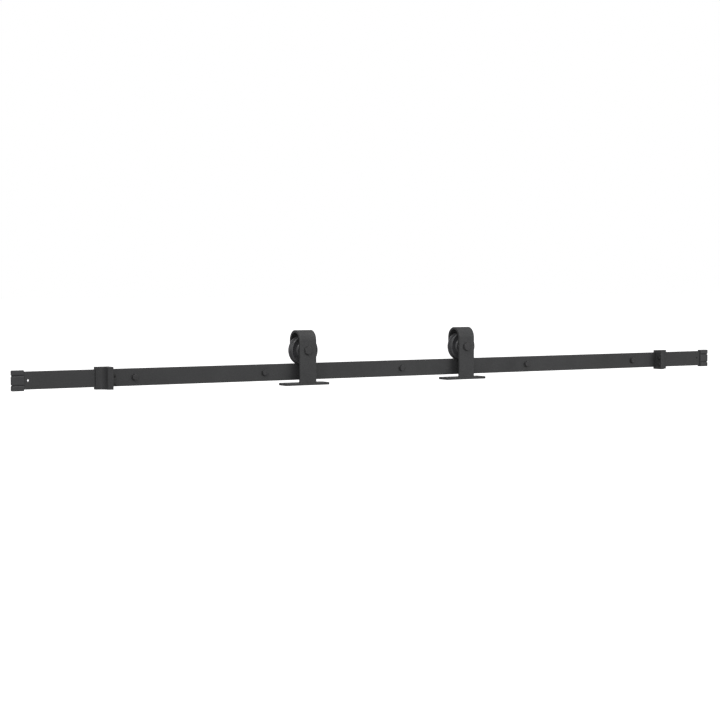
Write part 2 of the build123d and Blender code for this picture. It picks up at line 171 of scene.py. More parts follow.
class Nodes:
    """A small helper that builds a material's node tree."""

    def __init__(self, name):
        self.material = bpy.data.materials.new(name)
        self.material.use_nodes = True
        self.tree = self.material.node_tree
        self.shader = self.tree.nodes["Principled BSDF"]
        self.coordinates = self.tree.nodes.new("ShaderNodeTexCoord").outputs["Object"]

    def feed(self, socket, value):
        """Link a socket to another, or set its value."""
        if isinstance(value, bpy.types.NodeSocket):
            self.tree.links.new(value, socket)
        else:
            socket.default_value = value

    def link(self, output, socket_name):
        self.tree.links.new(output, self.shader.inputs[socket_name])

    def plain(self, **values):
        """Numbers that are the same all over the surface."""
        for key, value in values.items():
            self.shader.inputs[key.replace("_", " ")].default_value = value

    def noise(self, scale, detail, roughness=0.5, vector=None):
        node = self.tree.nodes.new("ShaderNodeTexNoise")
        node.inputs["Scale"].default_value = scale
        node.inputs["Detail"].default_value = detail
        node.inputs["Roughness"].default_value = roughness
        self.feed(node.inputs["Vector"], vector or self.coordinates)
        return node.outputs["Fac"]

    def cells(self, scale):
        """Distance from the middle of soft round cells."""
        node = self.tree.nodes.new("ShaderNodeTexVoronoi")
        node.feature = "SMOOTH_F1"
        node.inputs["Scale"].default_value = scale
        self.feed(node.inputs["Vector"], self.coordinates)
        return node.outputs["Distance"]

    def stretch(self, x, y, z):
        """Object coordinates scaled on each axis, for drawn and turned marks."""
        node = self.tree.nodes.new("ShaderNodeMapping")
        self.feed(node.inputs["Vector"], self.coordinates)
        node.inputs["Scale"].default_value = (x, y, z)
        return node.outputs["Vector"]

    def math(self, operation, *values):
        """A sum, product or the like of numbers and sockets."""
        node = self.tree.nodes.new("ShaderNodeMath")
        node.operation = operation
        for socket, value in zip(node.inputs, values):
            self.feed(socket, value)
        return node.outputs[0]

    def times(self, first, *others):
        """The product of numbers and sockets, of which the first is a socket."""
        for other in others:
            first = self.math("MULTIPLY", first, other)
        return first

    def remap(self, value, low_in, high_in, low_out, high_out):
        """The value with its range low_in to high_in stretched onto low_out to high_out."""
        node = self.tree.nodes.new("ShaderNodeMapRange")
        for name, number in (
            ("Value", value),
            ("From Min", low_in),
            ("From Max", high_in),
            ("To Min", low_out),
            ("To Max", high_out),
        ):
            self.feed(node.inputs[name], number)
        return node.outputs["Result"]

    def blend(self, factor, first, second):
        """A colour between first and second; each is a colour or a socket."""
        node = self.tree.nodes.new("ShaderNodeMix")
        node.data_type = "RGBA"
        self.feed(node.inputs["Factor"], factor)
        for key, value in (("A", first), ("B", second)):
            socket = [s for s in node.inputs if s.name == key and s.type == "RGBA"][0]
            self.feed(socket, (*value, 1.0) if isinstance(value, tuple) else value)
        return [s for s in node.outputs if s.type == "RGBA"][0]

    def bevel(self, width):
        """The normal with its edges rounded by width."""
        node = self.tree.nodes.new("ShaderNodeBevel")
        node.samples = BEVEL_SAMPLES
        node.inputs["Radius"].default_value = width
        return node.outputs["Normal"]

    def edges(self, width):
        """1 on edges and corners, down to 0 at about width from them."""
        dot = self.tree.nodes.new("ShaderNodeVectorMath")
        dot.operation = "DOT_PRODUCT"
        self.feed(dot.inputs[0], self.bevel(width))
        self.feed(dot.inputs[1], self.tree.nodes.new("ShaderNodeNewGeometry").outputs["Normal"])
        return self.remap(dot.outputs["Value"], FLAT_COSINE, EDGE_COSINE, 0.0, 1.0)

    def bump(self, height, distance, strength, under=None):
        node = self.tree.nodes.new("ShaderNodeBump")
        node.inputs["Strength"].default_value = strength
        node.inputs["Distance"].default_value = distance
        self.feed(node.inputs["Height"], height)
        if under is not None:
            self.feed(node.inputs["Normal"], under)
        return node.outputs["Normal"]


# Colours
CHARCOAL_DARK = (0.0278, 0.0280, 0.0290)
CHARCOAL_LIGHT = (0.0350, 0.0353, 0.0365)
# Paler tone for the rubbed wheel track, and for the powder coat's edges, where it is partly wear and partly a
# painted highlight
WEAR_AND_HIGHLIGHT_TONE = (0.130, 0.130, 0.134)
DUST = (0.085, 0.084, 0.082)
OXIDE_DARK = (0.031, 0.031, 0.033)
OXIDE_LIGHT = (0.047, 0.046, 0.047)
BARE_CORNER = (0.20, 0.20, 0.205)
TURNED_STEEL = (0.30, 0.30, 0.31)
BEARING_STEEL = (0.42, 0.42, 0.43)
WHEEL_DARK = (0.044, 0.044, 0.047)
WHEEL_LIGHT = (0.058, 0.058, 0.061)
CAP_DARK = (0.030, 0.030, 0.032)
CAP_LIGHT = (0.038, 0.038, 0.040)
RING_DARK = (0.40, 0.41, 0.42)
RING_LIGHT = (0.47, 0.48, 0.49)
RUBBER_DARK = (0.014, 0.014, 0.014)
RUBBER_BLOOM = (0.034, 0.034, 0.035)

# Widths of the worn edges, where the powder coat's paler band is also a painted highlight, and depths of the
# surface marks
COAT_EDGE = 1.8 * MM
COAT_BEVEL = 0.6 * MM
PEEL_DEPTH = 0.22 * MM
GRIT_DEPTH = 0.11 * MM
OXIDE_EDGE = 0.7 * MM
OXIDE_BEVEL = 0.25 * MM
OXIDE_DEPTH = 0.04 * MM
LATHE_DEPTH = 0.012 * MM
FLOW_DEPTH = 0.15 * MM
GRAIN_DEPTH = 0.035 * MM
RUBBER_DEPTH = 0.05 * MM


def scaled(colour, factor):
    return tuple(channel * factor for channel in colour)


def powder_coat(name, extra=None):
    """Charcoal powder coat: orange peel under a sandy grit, with edges painted paler, partly as coat worn thin and
    partly as a painted highlight.
    """
    n = Nodes(name)
    patches = n.noise(7.0, 4.0, 0.55)
    peel = n.cells(360.0)
    grit = n.noise(1150.0, 4.0, 0.65)
    tone = n.blend(n.remap(patches, 0.36, 0.64, 0.0, 1.0), CHARCOAL_DARK, CHARCOAL_LIGHT)
    speck = n.remap(grit, 0.54, 0.70, 0.0, 0.85)
    tone = n.blend(speck, tone, scaled(CHARCOAL_LIGHT, 2.2))
    pit = n.remap(grit, 0.46, 0.32, 0.0, 0.75)
    tone = n.blend(pit, tone, scaled(CHARCOAL_DARK, 0.45))
    # Paler edge band: partly coat worn thin, partly a painted highlight along every edge
    edge_patches = n.remap(n.noise(230.0, 4.0, 0.7), 0.42, 0.62, 0.10, 1.0)
    tone = n.blend(n.times(n.edges(COAT_EDGE), edge_patches, 0.45), tone, WEAR_AND_HIGHLIGHT_TONE)
    gloss = n.remap(n.noise(26.0, 4.0, 0.6), 0.3, 0.7, 0.46, 0.60)
    gloss = n.math("ADD", gloss, n.times(speck, 0.12))
    if extra:
        tone, gloss = extra(n, tone, gloss)
    n.link(tone, "Base Color")
    n.link(gloss, "Roughness")
    n.plain(Specular_IOR_Level=0.42, IOR=1.5)
    coarse = n.bump(peel, PEEL_DEPTH, 0.5, n.bevel(COAT_BEVEL))
    n.link(n.bump(grit, GRIT_DEPTH, 0.85, coarse), "Normal")
    return n.material


def wheel_track(n, tone, gloss):
    """The line that the wheels polish along the rail's top edge, as far as they travel."""
    low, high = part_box("rail")
    split = n.tree.nodes.new("ShaderNodeSeparateXYZ")
    n.feed(split.inputs["Vector"], n.coordinates)
    top = n.remap(split.outputs["Z"], high.z - 0.45 * MM, high.z - 0.1 * MM, 0.0, 1.0)
    offset = n.math("ABSOLUTE", n.math("SUBTRACT", split.outputs["Y"], (low.y + high.y) / 2))
    line = n.remap(offset, 1.2 * MM, 2.5 * MM, 1.0, 0.0)
    streaks = n.remap(n.noise(1.0, 4.0, 0.6, n.stretch(14.0, 900.0, 900.0)), 0.38, 0.62, 0.2, 1.0)
    travel = n.remap(n.math("ABSOLUTE", split.outputs["X"]), 0.68, 0.80, 1.0, 0.0)
    mark = n.times(top, line, streaks, travel)
    tone = n.blend(n.times(mark, 0.5), tone, WEAR_AND_HIGHLIGHT_TONE)
    return tone, n.math("SUBTRACT", gloss, n.times(mark, 0.22))


def black_oxide(name):
    """Blackened steel fasteners: mottled, satin, with corners worn towards bare metal."""
    n = Nodes(name)
    mottled = n.noise(420.0, 5.0, 0.65)
    tone = n.blend(n.remap(mottled, 0.36, 0.68, 0.0, 1.0), OXIDE_DARK, OXIDE_LIGHT)
    edge_patches = n.remap(n.noise(520.0, 3.0), 0.42, 0.62, 0.15, 1.0)
    tone = n.blend(n.times(n.edges(OXIDE_EDGE), edge_patches, 0.6), tone, BARE_CORNER)
    n.link(tone, "Base Color")
    n.link(n.remap(n.noise(160.0, 4.0), 0.3, 0.7, 0.34, 0.50), "Roughness")
    n.plain(Metallic=0.35)
    n.link(n.bump(n.noise(1300.0, 3.0), OXIDE_DEPTH, 0.7, n.bevel(OXIDE_BEVEL)), "Normal")
    return n.material


def turned_steel(name, tone, roughness):
    """Bare steel with fine rings from the lathe."""
    n = Nodes(name)
    rings = n.noise(1.0, 3.0, 0.6, n.stretch(300.0, 6000.0, 300.0))
    stains = n.noise(130.0, 4.0, 0.6)
    colour = n.blend(n.remap(rings, 0.35, 0.65, 0.0, 1.0), tone, scaled(tone, 1.3))
    colour = n.blend(n.remap(stains, 0.52, 0.72, 0.0, 0.5), colour, scaled(tone, 0.6))
    n.link(colour, "Base Color")
    n.link(n.remap(stains, 0.3, 0.7, roughness - 0.06, roughness + 0.10), "Roughness")
    n.plain(Metallic=1.0)
    n.link(n.bump(rings, LATHE_DEPTH, 0.6), "Normal")
    return n.material


def moulded_plastic(name, dark, light, low_gloss, high_gloss):
    """Moulded plastic with faint flow marks and a fine spark-eroded grain."""
    n = Nodes(name)
    flow = n.noise(60.0, 4.0, 0.6)
    grain = n.noise(2600.0, 2.0, 0.6)
    tone = n.blend(n.remap(flow, 0.35, 0.65, 0.0, 1.0), dark, light)
    tone = n.blend(n.remap(n.noise(240.0, 5.0, 0.7), 0.58, 0.76, 0.0, 0.35), tone, DUST)
    n.link(tone, "Base Color")
    n.link(n.remap(n.noise(420.0, 3.0), 0.3, 0.7, low_gloss, high_gloss), "Roughness")
    n.plain(Specular_IOR_Level=0.5)
    coarse = n.bump(flow, FLOW_DEPTH, 0.25)
    n.link(n.bump(grain, GRAIN_DEPTH, 0.7, coarse), "Normal")
    return n.material


def black_rubber(name):
    """Matte rubber with a pale bloom and a rough moulded skin."""
    n = Nodes(name)
    bloom = n.noise(170.0, 4.0, 0.6)
    tone = n.blend(n.remap(bloom, 0.4, 0.75, 0.0, 1.0), RUBBER_DARK, RUBBER_BLOOM)
    n.link(tone, "Base Color")
    n.link(n.remap(bloom, 0.3, 0.7, 0.72, 0.9), "Roughness")
    n.plain(Specular_IOR_Level=0.3)
    n.link(n.bump(n.noise(1800.0, 3.0), RUBBER_DEPTH, 0.8), "Normal")
    return n.material


def make_materials():
    return {
        "powder_coat": powder_coat("powder_coat"),
        "rail_coat": powder_coat("rail_powder_coat", wheel_track),
        "black_oxide_steel": black_oxide("black_oxide_steel"),
        "fastener_steel": turned_steel("turned_steel", TURNED_STEEL, 0.38),
        "bearing_steel": turned_steel("bearing_steel", BEARING_STEEL, 0.26),
        "wheel_nylon": moulded_plastic("black_nylon", WHEEL_DARK, WHEEL_LIGHT, 0.22, 0.36),
        "cap_plastic": moulded_plastic("cap_plastic", CAP_DARK, CAP_LIGHT, 0.44, 0.58),
        "stop_rubber": black_rubber("stop_rubber"),
        "ring_nylon": moulded_plastic("nut_ring_nylon", RING_DARK, RING_LIGHT, 0.4, 0.5),
    }


def paint_cad_nodes():
    """Every CAD node gets the material of its record slot."""
    slots = {part["node"]: part["material_slot"] for part in frame["record"]["subparts"]}
    for name, node in NODES.items():
        node.data.materials.clear()
        node.data.materials.append(MATERIALS["rail_coat" if name == "rail" else slots[name]])


# ---------------------------------------------------------------- mesh tools

SMOOTH_LIMIT = math.radians(32)
MERGE = 0.0005 * MM
CORNER_SHARE = 0.45


def finish_mesh(mesh, smooth_limit):
    """Merge doubled points, turn the faces outwards, and smooth all but the real edges."""
    shape = bmesh.new()
    shape.from_mesh(mesh)
    bmesh.ops.remove_doubles(shape, verts=shape.verts, dist=MERGE)
    bmesh.ops.dissolve_degenerate(shape, edges=shape.edges, dist=MERGE)
    bmesh.ops.recalc_face_normals(shape, faces=shape.faces)
    for face in shape.faces:
        face.smooth = True
    for edge in shape.edges:
        edge.smooth = len(edge.link_faces) == 2 and edge.calc_face_angle(0.0) < smooth_limit
    shape.to_mesh(mesh)
    shape.free()


def make_piece(name, solid, slot, body, replaced, smooth_limit=SMOOTH_LIMIT, holes=()):
    """A mesh piece in the object's frame that rides on a body and stands in for a CAD node."""
    mesh = bpy.data.meshes.new(name)
    mesh.from_pydata(solid[0], [], solid[1])
    piece = bpy.data.objects.new(name, mesh)
    bpy.context.scene.collection.objects.link(piece)
    for hole in holes:
        cut_away(piece, hole)
    finish_mesh(piece.data, smooth_limit)
    piece.data.materials.append(MATERIALS[slot])
    shading = piece.modifiers.new("flat_faces_stay_flat", "WEIGHTED_NORMAL")
    shading.keep_sharp = True
    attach(piece, body)
    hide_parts(replaced)


def cut_away(piece, solid):
    """Subtract a closed solid from a piece's mesh."""
    mesh = bpy.data.meshes.new("cutter")
    mesh.from_pydata(solid[0], [], solid[1])
    for target in (mesh, piece.data):
        finish_mesh(target, SMOOTH_LIMIT)
    cutter = bpy.data.objects.new("cutter", mesh)
    bpy.context.scene.collection.objects.link(cutter)
    cut = piece.modifiers.new("cut", "BOOLEAN")
    cut.operation = "DIFFERENCE"
    cut.solver = "EXACT"
    cut.object = cutter
    evaluated = piece.evaluated_get(bpy.context.evaluated_depsgraph_get())
    result = bpy.data.meshes.new_from_object(evaluated)
    piece.modifiers.remove(cut)
    old = piece.data
    piece.data = result
    bpy.data.objects.remove(cutter)
    bpy.data.meshes.remove(mesh)
    bpy.data.meshes.remove(old)


def skin(rings, wrap=False, split=False):
    """Points and faces of a closed skin over closed rings of points.

    Its two ends are capped unless it wraps. If split is set, each face becomes two triangles, along
    the diagonal that a thread follows.
    """
    columns = len(rings[0])
    points = [point for ring in rings for point in ring]
    faces = []
    for row in range(len(rings) if wrap else len(rings) - 1):
        here = row * columns
        after = (row + 1) % len(rings) * columns
        for column in range(columns):
            beside = (column + 1) % columns
            corners = (here + column, here + beside, after + beside, after + column)
            if split:
                faces += [corners[:3], (corners[0], corners[2], corners[3])]
            else:
                faces.append(corners)
    if not wrap:
        faces.append(tuple(reversed(range(columns))))
        faces.append(tuple(range(len(points) - columns, len(points))))
    return points, faces


def ring_about_y(centre, y, radii):
    """A ring of points about the Y axis through centre, with a radius for each of its steps."""
    ring = []
    for step, radius in enumerate(radii):
        turn = 2 * math.pi * step / len(radii)
        ring.append((centre.x + radius * math.cos(turn), y, centre.z + radius * math.sin(turn)))
    return ring


def turned(profile, centre, steps=72, wrap=True):
    """A closed skin turned about the Y axis through centre.

    Each point of its profile is a radius and a distance along Y from the centre.
    """
    rings = [ring_about_y(centre, centre.y + y, [radius] * steps) for radius, y in profile]
    return skin(rings, wrap)


def rounded(corners, radius, steps=4):
    """A closed outline with its corners turned into curves of about that radius."""
    outline = []
    for index, corner in enumerate(corners):
        here = Vector(corner)
        before = Vector(corners[index - 1]) - here
        after = Vector(corners[(index + 1) % len(corners)]) - here
        start = here + before.normalized() * min(radius, before.length * CORNER_SHARE)
        end = here + after.normalized() * min(radius, after.length * CORNER_SHARE)
        for step in range(steps + 1):
            t = step / steps
            outline.append(tuple(start * (1 - t) ** 2 + here * 2 * t * (1 - t) + end * t**2))
    return outline


def turned_tube(name, centre, low_y, high_y, radius, bore, edge, slot, body, replaced):
    """A turned ring or tube with rounded edges."""
    section = [(bore, low_y), (radius, low_y), (radius, high_y), (bore, high_y)]
    middle = Vector((centre.x, 0.0, centre.z))
    make_piece(name, turned(rounded(section, edge), middle), slot, body, replaced)


# ---------------------------------------------------------------- heads and threads

CONE_SLOPE = math.sqrt(3)
HEAD_LIP = 0.25 * MM


def hexagon_radii(flats, steps):
    """A hexagon's radius at each step of a turn, with one pair of corners up and down."""
    radii = []
    for step in range(steps):
        turn = (360 * step / steps + 30) % 60 - 30
        radii.append(flats / 2 / math.cos(math.radians(turn)))
    return radii


def cone_ring(centre, radii, face_radius, start, direction):
    """A hexagon's ring moved along Y to where a 30 degree cone from the face meets each point."""
    ring = []
    for (x, _, z), radius in zip(ring_about_y(centre, 0.0, radii), radii):
        ring.append((x, start + direction * (radius - face_radius) / CONE_SLOPE, z))
    return ring


def hex_head(centre, flats, front, back, inset, steps):
    """Rings of a hexagonal head with its front corners turned down to a cone."""
    radii = hexagon_radii(flats, steps)
    face = flats / 2 - inset
    return [
        ring_about_y(centre, front, [face - HEAD_LIP] * steps),
        ring_about_y(centre, front + HEAD_LIP / 3, [face] * steps),
        cone_ring(centre, radii, face, front + HEAD_LIP / 3, 1),
        ring_about_y(centre, back - HEAD_LIP / 2, radii),
        ring_about_y(centre, back, [radius - HEAD_LIP / 2 for radius in radii]),
    ]


def thread(centre, start, end, core, major, pitch, crest, steps, taper=None):
    """Rings of a bar with one raised helical thread; there is one ring for each step of a turn.

    The ridge has a flat crest, that share of the pitch wide, and flanks as wide again. taper(y)
    scales the ring at y.
    """
    rings = []
    for row in range(int((end - start) / pitch * steps) + 1):
        y = start + pitch * row / steps
        grow = min(1.0, row / steps)
        scale = taper(y) if taper else 1.0
        radii = []
        for step in range(steps):
            away = abs((row - step) % steps / steps - 0.5)
            ridge = min(1.0, max(0.0, (crest * 1.5 - away) / crest))
            radii.append((core + (major - core) * ridge * grow) * scale)
        rings.append(ring_about_y(centre, y, radii))
    return rings


# ---------------------------------------------------------------- pieces fixed to the rail

SCREW_STEPS = 24
COACH_FLATS = 13.0 * MM
COACH_SHANK = 4.0 * MM
COACH_CORE = 2.8 * MM
COACH_MAJOR = 3.9 * MM
COACH_PITCH = 3.4 * MM
COACH_POINT = 9.0 * MM
COACH_BLUNT = 0.12
COACH_INSET = 0.3 * MM
COACH_CREST = 0.11
COACH_SHANK_END = -1.0 * MM
COACH_CORE_START = 1.2 * MM
COACH_THREAD_START = 1.4 * MM
COACH_TAPER = 1.3
FIXING_BORE = 4.5 * MM
WASHER_EDGE = 0.3 * MM
SPACER_EDGE = 0.9 * MM


def fixing_places():
    names = sorted(name for name in MOUNTS if name.startswith("wall_screw_"))
    return [MOUNTS[name]["pos_m"][0] for name in names]


def coach_screw(number, x):
    """A coach screw: hex head, plain shank, and a coarse wood thread that runs out to a point."""
    low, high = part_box("coach_screws")
    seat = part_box("coach_washers")[0].y
    centre = Vector((x, 0.0, 0.0))
    point_start = high.y - COACH_POINT

    def taper(y):
        run = max(0.0, (y - point_start) / COACH_POINT)
        return max(COACH_BLUNT, 1.0 - run**COACH_TAPER)

    rings = hex_head(centre, COACH_FLATS, low.y, seat, COACH_INSET, SCREW_STEPS)
    for y, radius in (
        (seat, COACH_SHANK),
        (COACH_SHANK_END, COACH_SHANK),
        (COACH_CORE_START, COACH_CORE),
    ):
        rings.append(ring_about_y(centre, y, [radius] * SCREW_STEPS))
    rings += thread(
        centre, COACH_THREAD_START, high.y, COACH_CORE, COACH_MAJOR,
        COACH_PITCH, COACH_CREST, SCREW_STEPS, taper,
    )
    solid = skin(rings, split=True)
    make_piece(f"coach_screw_{number}", solid, "black_oxide_steel", "rail_assembly", "coach_screws")


CAP_GROOVE_PLACE = 11.0 * MM
CAP_GROOVE_DEPTH = 2.0 * MM
CAP_GROOVE_HALF = 2.3 * MM
CAP_GROOVE_SHAPE = 1.4
CAP_WALL_GAP = 0.05 * MM
CAP_TIP_ROUND = 2.4 * MM
CAP_TIP_STEPS = 8
CAP_CORNER = 1.6 * MM
CAP_CORNER_STEPS = 5
CAP_SIDE_STEPS = 56
CAP_LIP = 0.35 * MM
CAP_CROWN = 0.6
CAP_TIP_SHARES = (0.7, 0.86, 1.0)


def lobe_dip(z):
    """How far the cap's skin dips at a height, into the two grooves between its three lobes."""
    away = min(abs(z - CAP_GROOVE_PLACE), abs(z + CAP_GROOVE_PLACE))
    share = min(1.0, away / CAP_GROOVE_HALF)
    return CAP_GROOVE_DEPTH * (1.0 - share) ** CAP_GROOVE_SHAPE


def end_cap(side):
    """A moulded cap with three soft lobes, hollow where the rail's end goes in."""
    low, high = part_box(f"end_cap_{side}")
    rail_low, rail_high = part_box("rail")
    sign = 1 if side == "right" else -1
    mouth = low.x if sign > 0 else high.x
    tip = high.x if sign > 0 else low.x
    floor = rail_high.x if sign > 0 else rail_low.x
    middle_y = (low.y + high.y) / 2
    half_y = (high.y - low.y) / 2
    half_z = (high.z - low.z) / 2
    section = [(-half_y, -half_z), (half_y, -half_z), (half_y, half_z), (-half_y, half_z)]
    corners = rounded(section, CAP_CORNER, CAP_CORNER_STEPS)
    outline = []
    for index, (y, z) in enumerate(corners):
        after_y, after_z = corners[(index + 1) % len(corners)]
        long_run = abs(after_z - z) > half_z
        parts = CAP_SIDE_STEPS if long_run else 1
        for part in range(parts):
            t = part / parts
            outline.append((y + (after_y - y) * t, z + (after_z - z) * t))

    def tip_ring(back, inset):
        """The outline near the tip, that far in from it and drawn in by inset."""
        points = []
        for y, z in outline:
            dip = lobe_dip(z)
            reach = max(0.0, abs(y) - dip - inset) * (1 if y > 0 else -1)
            height = z * (1 - inset / half_z * CAP_CROWN)
            points.append((tip - sign * (back + dip), middle_y + reach, height))
        return points

    def straight_ring(x, inset):
        """The outline along the cap's sides, drawn in by inset."""
        points = []
        for y, z in outline:
            reach = (abs(y) - lobe_dip(z) - inset) * (1 if y > 0 else -1)
            points.append((x, middle_y + reach, z * (1 - inset / half_z)))
        return points

    def hollow_ring(x):
        """The outline of the hollow that the rail's end fills."""
        limit_y = (rail_high.y - rail_low.y) / 2 + CAP_WALL_GAP
        limit_z = rail_high.z + CAP_WALL_GAP
        points = []
        for y, z in outline:
            reach = max(-limit_y, min(limit_y, y))
            points.append((x, middle_y + reach, max(-limit_z, min(limit_z, z))))
        return points

    rings = [hollow_ring(floor), hollow_ring(mouth), straight_ring(mouth, CAP_LIP)]
    rings.append(straight_ring(mouth + sign * CAP_LIP, 0.0))
    for step in range(CAP_TIP_STEPS + 1):
        turn = math.pi / 2 * step / CAP_TIP_STEPS
        back = CAP_TIP_ROUND * (1 - math.sin(turn))
        rings.append(tip_ring(back, CAP_TIP_ROUND * (1 - math.cos(turn))))
    for share in CAP_TIP_SHARES:
        rings.append(tip_ring(0.0, half_y * share))
    solid = skin(rings)
    make_piece(f"end_cap_lobed_{side}", solid, "cap_plastic", "rail_assembly", f"end_cap_{side}")


BUFFER_RADIUS = 4.5 * MM
BUFFER_STEPS = 40
STEM_RADIUS = 2.2 * MM
STEM_POINT = 0.5 * MM

# The head's outline in millimetres: a radius, and how far back from the tip it is
BUFFER_HEAD = (
    (0.9, 0.7),
    (1.5, 0.35),
    (2.2, 0.04),
    (2.8, 0.0),
    (3.5, 0.25),
    (4.1, 0.8),
    (4.4, 1.6),
    (4.3, 3.4),
    (4.2, 4.2),
    (4.5, 4.8),
    (4.5, 5.7),
    (4.2, 6.0),
    (2.2, 6.0),
)


def stop_buffers(side):
    """Two rubber buffers on each stop, domed, with a rolled rim and a dimple."""
    low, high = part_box(f"stop_buffers_{side}")
    sign = -1 if side == "right" else 1
    tip = low.x if sign < 0 else high.x
    stem_end = high.x if sign < 0 else low.x
    profile = [(radius * MM, tip - sign * back * MM) for radius, back in BUFFER_HEAD]
    profile += [(STEM_RADIUS, stem_end + sign * STEM_POINT), (STEM_RADIUS - STEM_POINT, stem_end)]
    turns = [2 * math.pi * step / BUFFER_STEPS for step in range(BUFFER_STEPS)]
    middle_y = (low.y + high.y) / 2
    for place, z in (("lower", low.z + BUFFER_RADIUS), ("upper", high.z - BUFFER_RADIUS)):
        rings = []
        for radius, x in profile:
            ring = []
            for turn in turns:
                ring.append((x, middle_y + radius * math.cos(turn), z + radius * math.sin(turn)))
            rings.append(ring)
        name = f"rubber_buffer_{place}_{side}"
        make_piece(name, skin(rings), "stop_rubber", "rail_assembly", f"stop_buffers_{side}")


def make_rail_pieces():
    washer_low, washer_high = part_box("coach_washers")
    spacer_low, spacer_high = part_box("wall_spacers")
    for number, x in enumerate(fixing_places(), 1):
        coach_screw(number, x)
        centre = Vector((x, 0.0, 0.0))
        turned_tube(
            f"coach_washer_{number}", centre, washer_low.y, washer_high.y, washer_high.z,
            FIXING_BORE, WASHER_EDGE, "black_oxide_steel", "rail_assembly", "coach_washers",
        )
        turned_tube(
            f"wall_spacer_{number}", centre, spacer_low.y, spacer_high.y, spacer_high.z,
            FIXING_BORE, SPACER_EDGE, "powder_coat", "rail_assembly", "wall_spacers",
        )
    for side in SIDES:
        end_cap(side)
        stop_buffers(side)


# ---------------------------------------------------------------- hangers

AXLE_STEPS = 36
AXLE_RADIUS = 6.0 * MM
AXLE_BORE = 6.05 * MM
AXLE_CORE = 5.1 * MM
AXLE_PITCH = 1.75 * MM
AXLE_INSET = 0.5 * MM
AXLE_CREST = 0.2
AXLE_PLAY = 0.02 * MM
AXLE_THREAD_LEAD = 3.0 * MM
AXLE_RELIEF_START = 1.0 * MM
AXLE_RELIEF_END = 0.2 * MM
AXLE_TIP = 0.8 * MM
AXLE_TIP_EDGE = 0.5 * MM
AXLE_TIP_DROP = 0.6 * MM
STRAP_THICK = 6.0 * MM
STRAP_EDGE = 0.9 * MM
STRAP_FOOT = 0.4 * MM
STRAP_NARROWEST = 0.8 * MM
ARCH_STEPS = 72
END_STEPS = 32
HOLE_STEPS = 48


def axle_centre(side):
    return Vector(JOINTS[f"{side}_wheel_spin"]["pos_m"])


def strap(side):
    """Flat bar bent over the wheel, with rolled edges, a round rear end and the axle's hole."""
    low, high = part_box(f"hanger_strap_{side}")
    centre = axle_centre(side)
    half_width = (high.x - low.x) / 2
    middle_y = (low.y + high.y) / 2
    outer = (high.y - low.y) / 2
    path = outer - STRAP_THICK / 2
    spring = high.z - outer
    up = Vector((0, 0, 1))
    front = Vector((0, -1, 0))
    stations = []
    for z, draw_in in ((low.z, STRAP_FOOT), (low.z + STRAP_FOOT, 0.0), ((low.z + spring) / 2, 0.0)):
        stations.append((front * path + up * z, front, half_width - draw_in, STRAP_THICK - draw_in))
    for step in range(ARCH_STEPS + 1):
        turn = math.pi * step / ARCH_STEPS
        out = front * math.cos(turn) + up * math.sin(turn)
        stations.append((out * path + up * spring, out, half_width, STRAP_THICK))
    for step in range(END_STEPS + 1):
        turn = math.pi / 2 * step / END_STEPS
        z = centre.z - half_width * math.sin(turn)
        width = max(half_width * math.cos(turn), STRAP_NARROWEST)
        stations.append((-front * path + up * z, -front, width, STRAP_THICK))
    rings = []
    for place, out, half, thick in stations:
        corners = [(-half, -thick / 2), (half, -thick / 2), (half, thick / 2), (-half, thick / 2)]
        ring = []
        for across, away in rounded(corners, min(STRAP_EDGE, half * 0.8)):
            point = place + out * away
            ring.append((centre.x + across, middle_y + point.y, point.z))
        rings.append(ring)
    reach = outer * 1.5
    hole = turned([(AXLE_BORE, -reach), (AXLE_BORE, reach)], centre, HOLE_STEPS, wrap=False)
    make_piece(
        f"hanger_strap_bent_{side}", skin(rings), "powder_coat",
        f"{side}_hanger", f"hanger_strap_{side}", holes=[hole],
    )


def axle_bolt(side):
    """The axle: a thin hex head in front, a plain shank and a fine thread at the back."""
    low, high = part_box(f"axle_bolt_{side}")
    strap_low, strap_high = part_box(f"hanger_strap_{side}")
    centre = axle_centre(side)
    rings = hex_head(centre, high.x - low.x, low.y, strap_low.y, AXLE_INSET, AXLE_STEPS)
    thread_start = strap_high.y - AXLE_THREAD_LEAD
    radius = AXLE_RADIUS - AXLE_PLAY
    for y, here in (
        (strap_low.y, radius),
        (thread_start - AXLE_RELIEF_START, radius),
        (thread_start - AXLE_RELIEF_END, AXLE_CORE),
    ):
        rings.append(ring_about_y(centre, y, [here] * AXLE_STEPS))
    rings += thread(
        centre, thread_start, high.y - AXLE_TIP, AXLE_CORE, radius,
        AXLE_PITCH, AXLE_CREST, AXLE_STEPS,
    )
    for y, here in ((high.y - AXLE_TIP_EDGE, AXLE_CORE), (high.y, AXLE_CORE - AXLE_TIP_DROP)):
        rings.append(ring_about_y(centre, y, [here] * AXLE_STEPS))
    make_piece(
        f"axle_bolt_threaded_{side}", skin(rings, split=True), "black_oxide_steel",
        f"{side}_hanger", f"axle_bolt_{side}",
    )


NUT_STEPS = 72
NUT_INSET = 0.4 * MM
NUT_COLLAR_INSET = 0.9 * MM
NUT_COLLAR_RISE = 0.4 * MM
NUT_CHAMFER = 0.8 * MM
NUT_HEXAGON_SHARE = 0.68
NUT_ROLL = 1.4 * MM
NUT_ROLL_STEPS = 6
NUT_RECESS_TOP = 0.4 * MM
NUT_RECESS_FLOOR = 2.4 * MM
NYLON_WALL = 0.9 * MM
NYLON_GAP = 0.02 * MM
NYLON_TOP = 0.6 * MM
NYLON_BITE = 0.03 * MM
NYLON_EDGE = 0.3 * MM


